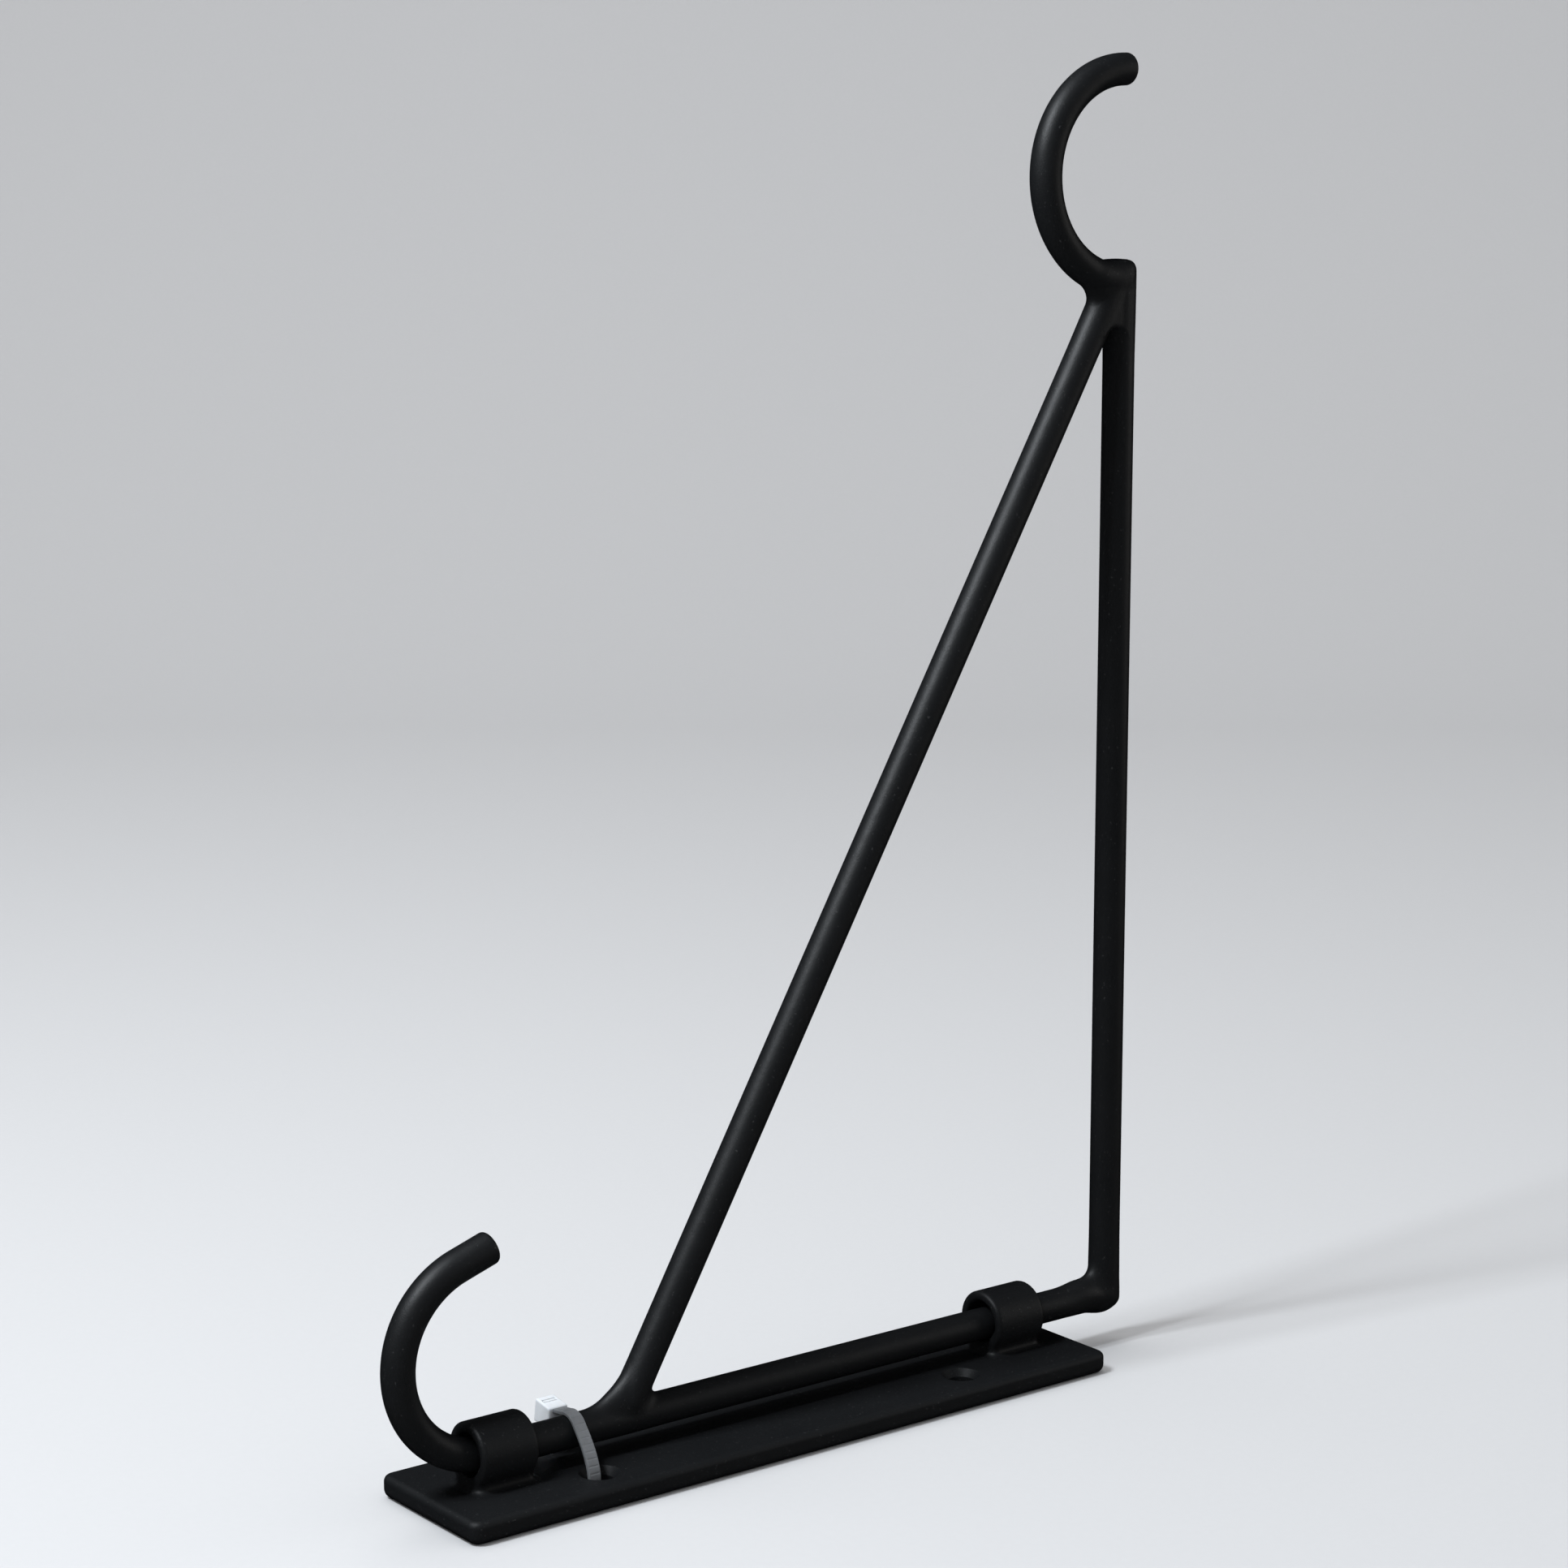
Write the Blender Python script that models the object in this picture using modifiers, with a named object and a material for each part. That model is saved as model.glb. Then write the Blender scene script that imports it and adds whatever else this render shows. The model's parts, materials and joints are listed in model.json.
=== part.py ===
"""Swing-arm wall bracket: a welded triangle of round bar that pivots on a flat wall plate.

The bracket is modelled lying on its wall face. X runs along the hinge, Y across the plate,
and Z from the wall face out to the end of the arm. The origin is the middle of the wall face.
"""
import math

import bmesh
import bpy
from mathutils import Matrix, Vector

MM = 0.001
GAP = 0.3 * MM  # clearance kept between two pieces that touch on the real bracket

# Flat plate that is screwed to the wall
PLATE_LENGTH = 143.6 * MM
PLATE_WIDTH = 30.4 * MM
PLATE_THICKNESS = 4.2 * MM
PLATE_CORNER_RADIUS = 2.2 * MM
PLATE_FRONT_EDGE_RADIUS = 1.2 * MM
PLATE_WALL_EDGE_RADIUS = 1.7 * MM
HOLE_X = 41.2 * MM
HOLE_Y = 7.8 * MM
HOLE_HEAD_RADIUS = 3.65 * MM
HOLE_SHANK_RADIUS = 2.6 * MM
COUNTERSINK_DEPTH = 1.4 * MM

# Round bar that the swinging frame is made of
BAR_RADIUS = 3.0 * MM
HINGE_Z = 9.6 * MM
ARM_X = 84.3 * MM
ARM_BOTTOM_Z = 7.3 * MM
ARM_TOP_Z = 210.0 * MM
BRACE_FOOT_X = -31.3 * MM
BRACE_HEAD_Z = 208.7 * MM  # where the brace's axis would meet the arm's axis

# Lower hook, bent from the end of the hinge bar
LOWER_HOOK_X = -59.1 * MM
LOWER_HOOK_RADIUS = 17.7 * MM
LOWER_HOOK_END_ANGLE = 108.0
LOWER_HOOK_TAIL = 7.2 * MM

# Upper hook, a bent bar welded to the side of the arm near its end
UPPER_HOOK_X = 84.9 * MM
UPPER_HOOK_Z = 225.4 * MM
UPPER_HOOK_RADIUS = 19.3 * MM
UPPER_HOOK_END_ANGLE = 87.0

# Hinge knuckles: short tubes on a foot, welded to the plate
KNUCKLE_BY_HOOK_X = -57.8 * MM
KNUCKLE_BY_ARM_X = 58.2 * MM
KNUCKLE_LENGTH = 11.5 * MM
KNUCKLE_OUTER_RADIUS = 5.8 * MM
KNUCKLE_BORE_RADIUS = 3.9 * MM
KNUCKLE_RISE = 0.5 * MM  # the bar rests low in the bore
KNUCKLE_FOOT_WIDTH = 7.4 * MM
KNUCKLE_EDGE_RADIUS = 0.5 * MM

# Nylon cable tie that stops the frame from swinging in transit
TIE_X = -42.0 * MM
TIE_WIDTH = 2.5 * MM
TIE_THICKNESS = 0.75 * MM
TIE_HEAD_SIZE = (4.4 * MM, 4.8 * MM, 4.2 * MM)
TIE_HEAD_Y = 5.8 * MM
TIE_HEAD_Z = 11.75 * MM
TIE_END_Z = 0.5 * MM
TIE_TAIL_TOP = 0.2 * MM

STEEL = ("powder_coated_steel", (0.012, 0.013, 0.015, 1.0), 0.55, 0.0)
PLATE_STEEL = ("powder_coated_plate", (0.013, 0.014, 0.016, 1.0), 0.6, 0.0)
NYLON = ("white_nylon", (0.78, 0.79, 0.8, 1.0), 0.35, 0.0)


def clear_scene():
    for obj in list(bpy.data.objects):
        bpy.data.objects.remove(obj, do_unlink=True)


def new_collection(name):
    collection = bpy.data.collections.new(name)
    bpy.context.scene.collection.children.link(collection)
    return collection


def make_material(name, finish):
    label, colour, roughness, metallic = finish
    material = bpy.data.materials.new(f"{name}_{label}")
    material.use_nodes = True
    shader = material.node_tree.nodes["Principled BSDF"]
    shader.inputs["Base Color"].default_value = colour
    shader.inputs["Roughness"].default_value = roughness
    shader.inputs["Metallic"].default_value = metallic
    material.diffuse_color = colour
    return material


def add_mesh_object(name, mesh, collection, finish=None):
    obj = bpy.data.objects.new(name, mesh)
    collection.objects.link(obj)
    if finish:
        mesh.materials.append(make_material(name, finish))
    return obj


def mark_as_cutter(obj):
    obj.hide_render = True
    obj.display_type = "WIRE"


def shade_round(obj, angle=40.0):
    obj.data.shade_smooth()
    obj.data.set_sharp_from_angle(angle=math.radians(angle))


def set_origin(obj, point):
    """Move an object's origin to a point without moving its shape."""
    offset = Vector(point) - obj.matrix_world.translation
    obj.data.transform(Matrix.Translation(-offset))
    obj.matrix_world.translation = Vector(point)


def cut(obj, cutter):
    modifier = obj.modifiers.new("cut_" + cutter.name, "BOOLEAN")
    modifier.operation = "DIFFERENCE"
    modifier.solver = "EXACT"
    modifier.object = cutter


def add_bar(name, points, radius, collection, finish=None):
    """A round bar along a list of points, as a closed mesh."""
    curve = bpy.data.curves.new(name, "CURVE")
    curve.dimensions = "3D"
    curve.bevel_depth = radius
    curve.bevel_resolution = 8
    curve.use_fill_caps = True
    spline = curve.splines.new("POLY")
    spline.points.add(len(points) - 1)
    for spline_point, place in zip(spline.points, points):
        spline_point.co = (*place, 1.0)
    guide = bpy.data.objects.new(name + "_guide", curve)
    collection.objects.link(guide)
    bpy.context.view_layer.update()
    depsgraph = bpy.context.evaluated_depsgraph_get()
    mesh = bpy.data.meshes.new_from_object(guide.evaluated_get(depsgraph))
    mesh.name = name
    solid = bmesh.new()
    solid.from_mesh(mesh)
    bmesh.ops.remove_doubles(solid, verts=solid.verts, dist=0.01 * MM)
    bmesh.ops.recalc_face_normals(solid, faces=solid.faces)
    solid.to_mesh(mesh)
    solid.free()
    obj = add_mesh_object(name, mesh, collection, finish)
    obj.matrix_world = guide.matrix_world
    bpy.data.objects.remove(guide, do_unlink=True)
    shade_round(obj)
    return obj


def arc_points(centre_x, centre_z, radius, start, end, steps):
    """Points on an arc in the XZ plane, angles in degrees from +X."""
    points = []
    for step in range(steps + 1):
        angle = math.radians(start + (end - start) * step / steps)
        x = centre_x + radius * math.cos(angle)
        z = centre_z + radius * math.sin(angle)
        points.append(Vector((x, 0.0, z)))
    return points


def lower_hook_points():
    points = arc_points(LOWER_HOOK_X, HINGE_Z + LOWER_HOOK_RADIUS, LOWER_HOOK_RADIUS,
                        270.0, LOWER_HOOK_END_ANGLE, 20)
    end = math.radians(LOWER_HOOK_END_ANGLE)
    tail = Vector((math.sin(end), 0.0, -math.cos(end))) * LOWER_HOOK_TAIL
    points.append(points[-1] + tail)
    return points


def upper_hook_points():
    side_of_arm = ARM_X - BAR_RADIUS - GAP
    inner_radius = UPPER_HOOK_RADIUS - BAR_RADIUS
    start_angle = 270.0 - math.degrees(math.asin((UPPER_HOOK_X - side_of_arm) / inner_radius))
    return arc_points(UPPER_HOOK_X, UPPER_HOOK_Z, UPPER_HOOK_RADIUS,
                      start_angle, UPPER_HOOK_END_ANGLE, 24)


def make_back_plate(parts, cutters):
    solid = bmesh.new()
    bmesh.ops.create_cube(solid, size=1.0)
    bmesh.ops.scale(solid, vec=(PLATE_LENGTH, PLATE_WIDTH, PLATE_THICKNESS), verts=solid.verts)
    bmesh.ops.translate(solid, vec=(0.0, 0.0, PLATE_THICKNESS / 2), verts=solid.verts)
    uprights = [edge for edge in solid.edges
                if abs(edge.verts[0].co.z - edge.verts[1].co.z) > PLATE_THICKNESS / 2]
    bmesh.ops.bevel(solid, geom=uprights, offset=PLATE_CORNER_RADIUS, offset_type="OFFSET",
                    segments=6, profile=0.5, affect="EDGES")
    rims = ((PLATE_THICKNESS, PLATE_FRONT_EDGE_RADIUS), (0.0, PLATE_WALL_EDGE_RADIUS))
    for height, radius in rims:
        rim = [edge for edge in solid.edges
               if all(abs(vert.co.z - height) < GAP / 10 for vert in edge.verts)]
        bmesh.ops.bevel(solid, geom=rim, offset=radius, offset_type="OFFSET",
                        segments=3, profile=0.5, affect="EDGES")
    mesh = bpy.data.meshes.new("back_plate")
    solid.to_mesh(mesh)
    solid.free()
    plate = add_mesh_object("back_plate", mesh, parts, PLATE_STEEL)
    for side_x in (-1, 1):
        for side_y in (-1, 1):
            cut(plate, make_hole_cutter(side_x * HOLE_X, side_y * HOLE_Y, cutters))
    shade_round(plate)
    return plate


def make_hole_cutter(x, y, cutters):
    """A countersunk screw hole as a turned profile, outer side from top to bottom."""
    over = 1.0 * MM
    slope = (HOLE_HEAD_RADIUS - HOLE_SHANK_RADIUS) / COUNTERSINK_DEPTH
    profile = [
        (0.0, PLATE_THICKNESS + over),
        (HOLE_HEAD_RADIUS + slope * over, PLATE_THICKNESS + over),
        (HOLE_SHANK_RADIUS, PLATE_THICKNESS - COUNTERSINK_DEPTH),
        (HOLE_SHANK_RADIUS, -over),
        (0.0, -over),
    ]
    mesh = bpy.data.meshes.new("hole_cutter")
    edges = [(index, index + 1) for index in range(len(profile) - 1)]
    mesh.from_pydata([(radius, 0.0, z) for radius, z in profile], edges, [])
    cutter = add_mesh_object("hole_cutter", mesh, cutters)
    cutter.location = (x, y, 0.0)
    screw = cutter.modifiers.new("turn", "SCREW")
    screw.steps = 32
    screw.render_steps = 32
    screw.use_merge_vertices = True
    screw.merge_threshold = 0.00001
    mark_as_cutter(cutter)
    return cutter


def add_cylinder_along_x(name, length, radius, centre, collection, segments=48):
    solid = bmesh.new()
    turn = Matrix.Translation(centre) @ Matrix.Rotation(math.radians(90.0), 4, "Y")
    bmesh.ops.create_cone(solid, cap_ends=True, segments=segments, radius1=radius,
                          radius2=radius, depth=length, matrix=turn)
    mesh = bpy.data.meshes.new(name)
    solid.to_mesh(mesh)
    solid.free()
    return add_mesh_object(name, mesh, collection)


def add_box(name, size, centre, collection):
    solid = bmesh.new()
    bmesh.ops.create_cube(solid, size=1.0)
    bmesh.ops.scale(solid, vec=size, verts=solid.verts)
    bmesh.ops.translate(solid, vec=centre, verts=solid.verts)
    mesh = bpy.data.meshes.new(name)
    solid.to_mesh(mesh)
    solid.free()
    return add_mesh_object(name, mesh, collection)


def make_knuckle(name, x, parts, cutters):
    """A short tube on a flat foot; the bore is wider than the hinge bar."""
    centre = (x, 0.0, HINGE_Z + KNUCKLE_RISE)
    knuckle = add_cylinder_along_x(name, KNUCKLE_LENGTH, KNUCKLE_OUTER_RADIUS, centre, parts)
    knuckle.data.materials.append(make_material(name, STEEL))
    rounding = knuckle.modifiers.new("rounded_ends", "BEVEL")
    rounding.width = KNUCKLE_EDGE_RADIUS
    rounding.segments = 2
    rounding.limit_method = "ANGLE"
    rounding.angle_limit = math.radians(60.0)

    foot_bottom = PLATE_THICKNESS + GAP
    foot_top = centre[2] - KNUCKLE_BORE_RADIUS / 2
    foot_size = (KNUCKLE_LENGTH - 2 * KNUCKLE_EDGE_RADIUS, KNUCKLE_FOOT_WIDTH,
                 foot_top - foot_bottom)
    foot = add_box(name + "_foot", foot_size, (x, 0.0, (foot_top + foot_bottom) / 2), cutters)
    mark_as_cutter(foot)
    join = knuckle.modifiers.new("foot", "BOOLEAN")
    join.operation = "UNION"
    join.solver = "EXACT"
    join.object = foot

    below = add_box(name + "_below", (2 * KNUCKLE_LENGTH, 4 * KNUCKLE_FOOT_WIDTH, foot_bottom),
                    (x, 0.0, foot_bottom / 2), cutters)
    mark_as_cutter(below)
    cut(knuckle, below)

    bore = add_cylinder_along_x(name + "_bore", 2 * KNUCKLE_LENGTH, KNUCKLE_BORE_RADIUS,
                                centre, cutters, 40)
    mark_as_cutter(bore)
    cut(knuckle, bore)
    shade_round(knuckle)
    return knuckle


def make_hinge_bar(parts):
    """The pivot bar and, bent from the same length of bar, the lower hook."""
    corner = Vector((ARM_X - BAR_RADIUS - GAP, 0.0, HINGE_Z))
    return add_bar("hinge_bar_with_lower_hook", [corner] + lower_hook_points(),
                   BAR_RADIUS, parts, STEEL)


def make_arm(parts):
    bottom = Vector((ARM_X, 0.0, ARM_BOTTOM_Z))
    top = Vector((ARM_X, 0.0, ARM_TOP_Z))
    return add_bar("arm", [bottom, top], BAR_RADIUS, parts, STEEL)


def make_upper_hook(parts):
    return add_bar("upper_hook", upper_hook_points(), BAR_RADIUS, parts, STEEL)


def make_brace(parts, cutters):
    """The sloping bar, with its ends coped to fit the bars that it is welded to."""
    foot = Vector((BRACE_FOOT_X, 0.0, HINGE_Z))
    head = Vector((ARM_X, 0.0, BRACE_HEAD_Z))
    slope = (head - foot).normalized()
    brace = add_bar("brace", [foot, head - slope * 2 * BAR_RADIUS], BAR_RADIUS, parts, STEEL)

    reach = 10 * BAR_RADIUS
    coping = {
        "cope_hinge_bar": [foot - Vector((reach, 0.0, 0.0)), foot + Vector((reach, 0.0, 0.0))],
        "cope_arm": [head - Vector((0.0, 0.0, reach)), head + Vector((0.0, 0.0, BAR_RADIUS))],
        "cope_upper_hook": upper_hook_points(),
    }
    for name, points in coping.items():
        cutter = add_bar(name, points, BAR_RADIUS + GAP, cutters)
        mark_as_cutter(cutter)
        cut(brace, cutter)
    below = add_box("cope_below_hinge_bar", (reach, reach, reach),
                    (BRACE_FOOT_X, 0.0, HINGE_Z - reach / 2), cutters)
    mark_as_cutter(below)
    cut(brace, below)
    return brace


def add_ribbon(name, route, collection):
    """A flat strap: an open strip along a route of (y, z) points, thickened evenly."""
    strip = bmesh.new()
    left = [strip.verts.new((TIE_X - TIE_WIDTH / 2, y, z)) for y, z in route]
    right = [strip.verts.new((TIE_X + TIE_WIDTH / 2, y, z)) for y, z in route]
    for index in range(len(route) - 1):
        strip.faces.new((left[index], right[index], right[index + 1], left[index + 1]))
    mesh = bpy.data.meshes.new(name)
    strip.to_mesh(mesh)
    strip.free()
    strap = add_mesh_object(name, mesh, collection)
    thickness = strap.modifiers.new("thickness", "SOLIDIFY")
    thickness.thickness = TIE_THICKNESS
    thickness.offset = 0.0
    thickness.use_even_offset = True
    return strap


def strap_route():
    """Centre line of the strap in the YZ plane, from the head over the bar into its hole."""
    wrap = BAR_RADIUS + GAP + TIE_THICKNESS / 2
    slack = 0.75 * MM
    route = [(TIE_HEAD_Y, HINGE_Z + wrap)]
    for angle in range(90, 151, 12):
        turn = math.radians(angle)
        spread = slack * (angle - 90) / 60
        route.append(((wrap + spread) * math.cos(turn), HINGE_Z + (wrap + spread) * math.sin(turn)))
    route.append((-HOLE_Y + 1.9 * MM, HINGE_Z - 1.9 * MM))
    route.append((-HOLE_Y + 0.6 * MM, PLATE_THICKNESS + 1.2 * MM))
    route.append((-HOLE_Y + 0.2 * MM, PLATE_THICKNESS - 0.6 * MM))
    route.append((-HOLE_Y + 0.1 * MM, TIE_END_Z))
    return route


def make_cable_tie(parts, cutters):
    """The moulded tie: its locking head and the strap that leaves the head in one piece."""
    strap = add_ribbon("cable_tie", strap_route(), parts)
    strap.data.materials.append(make_material("cable_tie", NYLON))
    head = add_box("cable_tie_head", TIE_HEAD_SIZE, (TIE_X, TIE_HEAD_Y, TIE_HEAD_Z), cutters)
    mark_as_cutter(head)
    join = strap.modifiers.new("head", "BOOLEAN")
    join.operation = "UNION"
    join.solver = "EXACT"
    join.object = head
    slot_size = (TIE_WIDTH + 2 * GAP, TIE_THICKNESS + 2 * GAP, 4 * TIE_HEAD_SIZE[2])
    slot = add_box("cable_tie_slot", slot_size, (TIE_X, tail_y(), TIE_HEAD_Z), cutters)
    mark_as_cutter(slot)
    cut(strap, slot)
    return strap


def tail_y():
    return TIE_HEAD_Y + 0.5 * MM


def make_cable_tie_tail(parts):
    """The strap's other end, up from the far hole, through the head's slot and cut off."""
    top = TIE_HEAD_Z + TIE_HEAD_SIZE[2] / 2 + TIE_TAIL_TOP
    route = [
        (HOLE_Y - 0.2 * MM, TIE_END_Z),
        (HOLE_Y - 0.2 * MM, PLATE_THICKNESS),
        (tail_y(), TIE_HEAD_Z - TIE_HEAD_SIZE[2] / 2 - 2 * GAP),
        (tail_y(), top),
    ]
    tail = add_ribbon("cable_tie_tail", route, parts)
    tail.data.materials.append(make_material("cable_tie_tail", NYLON))
    return tail


def add_pivot(swinging, parts):
    """An empty on the hinge axis that carries everything that swings."""
    pivot = bpy.data.objects.new("swing_axis", None)
    pivot.empty_display_size = 10 * MM
    pivot.location = (0.0, 0.0, HINGE_Z)
    parts.objects.link(pivot)
    bpy.context.view_layer.update()
    for obj in swinging:
        set_origin(obj, pivot.location)
        obj.parent = pivot
        obj.matrix_parent_inverse = pivot.matrix_world.inverted()


def main():
    clear_scene()
    parts = new_collection("swing_arm_wall_bracket")
    cutters = new_collection("swing_arm_wall_bracket_cutters")
    make_back_plate(parts, cutters)
    make_knuckle("knuckle_by_lower_hook", KNUCKLE_BY_HOOK_X, parts, cutters)
    make_knuckle("knuckle_by_arm", KNUCKLE_BY_ARM_X, parts, cutters)
    make_cable_tie(parts, cutters)
    make_cable_tie_tail(parts)
    swinging = [make_hinge_bar(parts), make_arm(parts), make_upper_hook(parts),
                make_brace(parts, cutters)]
    add_pivot(swinging, parts)


main()
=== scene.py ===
import json
import math

import bmesh
import bpy
import numpy as np
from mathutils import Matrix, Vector


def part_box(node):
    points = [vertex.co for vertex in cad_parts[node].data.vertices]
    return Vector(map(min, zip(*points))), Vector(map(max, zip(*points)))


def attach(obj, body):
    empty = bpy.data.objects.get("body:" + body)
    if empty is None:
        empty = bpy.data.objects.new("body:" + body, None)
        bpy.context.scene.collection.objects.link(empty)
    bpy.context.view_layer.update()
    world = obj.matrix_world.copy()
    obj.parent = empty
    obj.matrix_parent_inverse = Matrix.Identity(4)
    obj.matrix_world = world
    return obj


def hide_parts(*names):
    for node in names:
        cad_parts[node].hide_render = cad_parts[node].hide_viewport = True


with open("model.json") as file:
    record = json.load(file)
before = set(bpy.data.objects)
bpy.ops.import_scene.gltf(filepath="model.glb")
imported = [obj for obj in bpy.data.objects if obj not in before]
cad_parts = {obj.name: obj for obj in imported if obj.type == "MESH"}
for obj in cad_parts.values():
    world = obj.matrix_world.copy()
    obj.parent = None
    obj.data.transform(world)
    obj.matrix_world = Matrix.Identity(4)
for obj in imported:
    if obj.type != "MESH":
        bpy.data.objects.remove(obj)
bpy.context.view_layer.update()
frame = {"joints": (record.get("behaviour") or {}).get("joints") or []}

mm = 0.001  # lengths below are in millimetres, and meshes are made in metres


def boxInMm(node):
    low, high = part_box(node)
    return np.array(low) / mm, np.array(high) / mm


# Sizes that every piece shares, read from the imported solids
armLow, armHigh = boxInMm("arm")
plateLow, plateHigh = boxInMm("back_plate")
barRadius = (armHigh[1] - armLow[1]) / 2
armX = (armLow[0] + armHigh[0]) / 2
hingeZ = frame["joints"][0]["pos_m"][2] / mm
plateTop = plateHigh[2]

# The coat over a weld thins out along the bars, and slips under their own surface at the weld's reach
coatSlope = 0.012
weldCell = 0.3
weldMargin = 2  # room outside a weld's reach and beside the bars


def meshFrom(name, points, faces):
    mesh = bpy.data.meshes.new(name)
    mesh.from_pydata((np.asarray(points) * mm).tolist(), [], [list(map(int, face)) for face in faces])
    mesh.validate()
    solid = bmesh.new()
    solid.from_mesh(mesh)
    bmesh.ops.recalc_face_normals(solid, faces=solid.faces)
    solid.to_mesh(mesh)
    solid.free()
    mesh.shade_smooth()
    return mesh


def addPiece(name, mesh, material, body, stands=()):
    piece = bpy.data.objects.new(name, mesh)
    bpy.context.scene.collection.objects.link(piece)
    mesh.materials.append(material)
    if body:
        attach(piece, body)
    if stands:
        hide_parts(*stands)
    return piece


def keepEdges(piece, angle):
    piece.data.set_sharp_from_angle(angle=math.radians(angle))
    weighted = piece.modifiers.new("flat faces stay flat", "WEIGHTED_NORMAL")
    weighted.keep_sharp = True
    weighted.weight = 100


def skin(rings, closed=True):
    # Faces between rings of equal length, and a fan over each end when closed
    points = np.concatenate(rings)
    count = len(rings[0])
    total, last = len(points), len(points) - count
    faces = []
    for start in range(0, last, count):
        for index in range(count):
            here, after = start + index, start + (index + 1) % count
            faces.append((here, after, after + count, here + count))
    if closed:
        for index in range(count):
            after = (index + 1) % count
            faces.append((after, index, total))
            faces.append((last + index, last + after, total + 1))
        points = np.concatenate([points, [rings[0].mean(0), rings[-1].mean(0)]])
    return points, faces


# Every bar is bent in the plane of the hinge axis and the arm
barDetail = {
    "bendStep": 2.5,  # degrees
    "straightStep": 3,
    "softSteps": 9,
    "clearOfSoft": 1.02,  # plain stations start this many soft radii from an end
    "sides": 72,
}


def arcPath(centre, radius, start, end):
    count = max(2, int(abs(end - start) / barDetail["bendStep"]))
    angles = np.radians(np.linspace(start, end, count + 1))
    return [(centre[0] + radius * math.cos(a), centre[1] + radius * math.sin(a)) for a in angles]


def barMesh(name, path, radius, softStart=0.0, softEnd=0.0):
    # A bar along (x, z) points. A soft end has its rim rounded by that radius. Straight runs are cut into
    # short lengths, so that the shading of an end doesn't spread along them.
    corners = np.array(path, float)
    path = [corners[0]]
    for start, stop in zip(corners, corners[1:]):
        count = max(1, int(np.linalg.norm(stop - start) / barDetail["straightStep"]))
        path += [start + (stop - start) * (n + 1) / count for n in range(count)]
    path = np.array(path)
    along = np.gradient(path, axis=0)
    along[0], along[-1] = path[1] - path[0], path[-1] - path[-2]
    along /= np.linalg.norm(along, axis=1)[:, None]
    run = np.concatenate([[0], np.cumsum(np.linalg.norm(np.diff(path, axis=0), axis=1))])
    clear = barDetail["clearOfSoft"]
    kept = (run >= softStart * clear) & (run <= run[-1] - softEnd * clear)
    stations = [(point, direction, radius) for point, direction in zip(path[kept], along[kept])]
    for soft, end, sign in ((softStart, 0, 1.0), (softEnd, -1, -1.0)):
        if not soft:
            continue
        curl = []
        for angle in np.radians(np.linspace(0, 90, barDetail["softSteps"])):
            back = sign * soft * (1 - math.sin(angle))
            curl.append((path[end] + along[end] * back, along[end], radius - soft * (1 - math.cos(angle))))
        stations = curl[::-1] + stations if sign > 0 else stations + curl
    turn = np.linspace(0, 2 * math.pi, barDetail["sides"], endpoint=False)
    rings = []
    for point, direction, size in stations:
        side = np.array([-direction[1], direction[0]])
        x = point[0] + size * np.cos(turn) * side[0]
        z = point[1] + size * np.cos(turn) * side[1]
        rings.append(np.stack([x, size * np.sin(turn), z], 1))
    return meshFrom(name, *skin(rings))


# Welds, knuckles and the tie's head are surfaces of distance fields, in millimetres
def rodField(x, y, z, start, end, radius):
    # Distance from a bar with round ends between two (x, z) points
    start, end = np.array(start, float), np.array(end, float)
    span = end - start
    u, w = x - start[0], z - start[1]
    share = np.clip((u * span[0] + w * span[1]) / float(span @ span), 0, 1)
    return np.sqrt((u - share * span[0]) ** 2 + y ** 2 + (w - share * span[1]) ** 2) - radius


def softBox(distances, edge):
    # The part inside every one of the distances, with its edges rounded by that radius
    outside = [np.maximum(d + edge, 0) for d in distances]
    inner = np.minimum(np.maximum.reduce(distances) + edge, 0)
    return np.sqrt(sum(d ** 2 for d in outside)) + inner - edge


def blend(a, b, size):
    # Union with a fillet. Size may vary from place to place.
    size = np.maximum(size, 1e-4)
    near = np.maximum(size - np.abs(a - b), 0) / size
    return np.minimum(a, b) - near ** 2 * size / 4


def filletSize(y, size, least):
    # A fillet between crossing bars dies out where their sides are level with each other
    return least + size * np.maximum(1 - (y / barRadius) ** 2, 0)


# Points settle onto a field's surface in a few passes. The furthest step is a share of a cell.
settle = {"passes": 4, "nudge": 0.01, "leastSlope": 0.2, "furthest": 0.5}


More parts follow.
